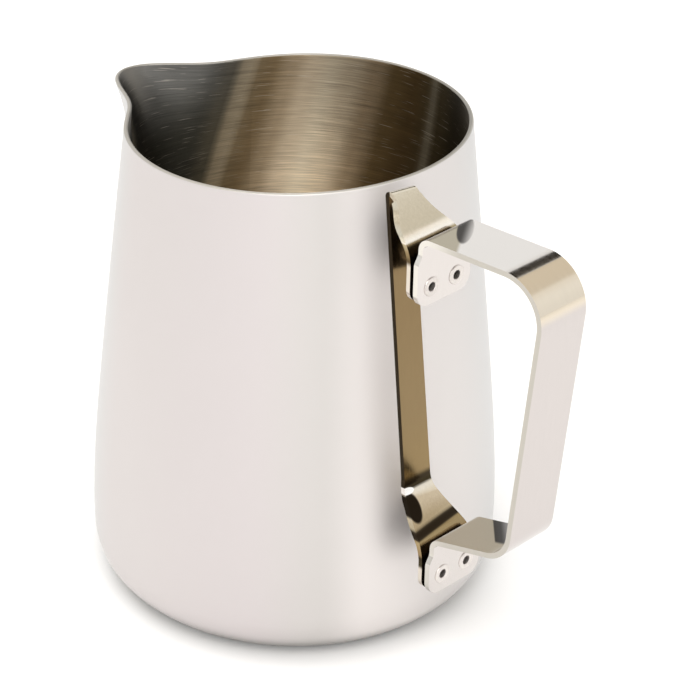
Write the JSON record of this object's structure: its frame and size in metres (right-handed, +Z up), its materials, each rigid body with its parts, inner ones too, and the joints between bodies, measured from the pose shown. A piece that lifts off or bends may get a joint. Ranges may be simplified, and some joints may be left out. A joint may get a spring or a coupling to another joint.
{
  "type": "milk frothing pitcher",
  "caption": "Stainless steel milk frothing pitcher: drawn pear-shaped body with a beak spout and slanted rim, and a strap handle riveted to a folded bracket.",
  "frame": {"origin": "centre of the flat underside the pitcher stands on, on the axis of the round body", "axes": "+Z up along the body's axis, +X the way the handle's strap points, the beak spout on the -X side"},
  "size_m": [0.1306, 0.0912, 0.1117],
  "materials": {
    "body_steel": "polished outside, round-brushed inside",
    "bracket_steel": "bright, lightly drawn",
    "handle_steel": "polished",
    "rivet_steel": "polished",
    "mandrel_steel": "dull, darkened"
  },
  "bodies": {
    "root": {"pitcher_body": "body_steel", "handle_bracket": "bracket_steel", "strap_handle": "handle_steel", "rivet_upper_left": "rivet_steel", "rivet_upper_right": "rivet_steel", "rivet_lower_left": "rivet_steel", "rivet_lower_right": "rivet_steel", "mandrel_upper_left": "mandrel_steel", "mandrel_upper_right": "mandrel_steel", "mandrel_lower_left": "mandrel_steel", "mandrel_lower_right": "mandrel_steel"}
  },
  "joints": []
}
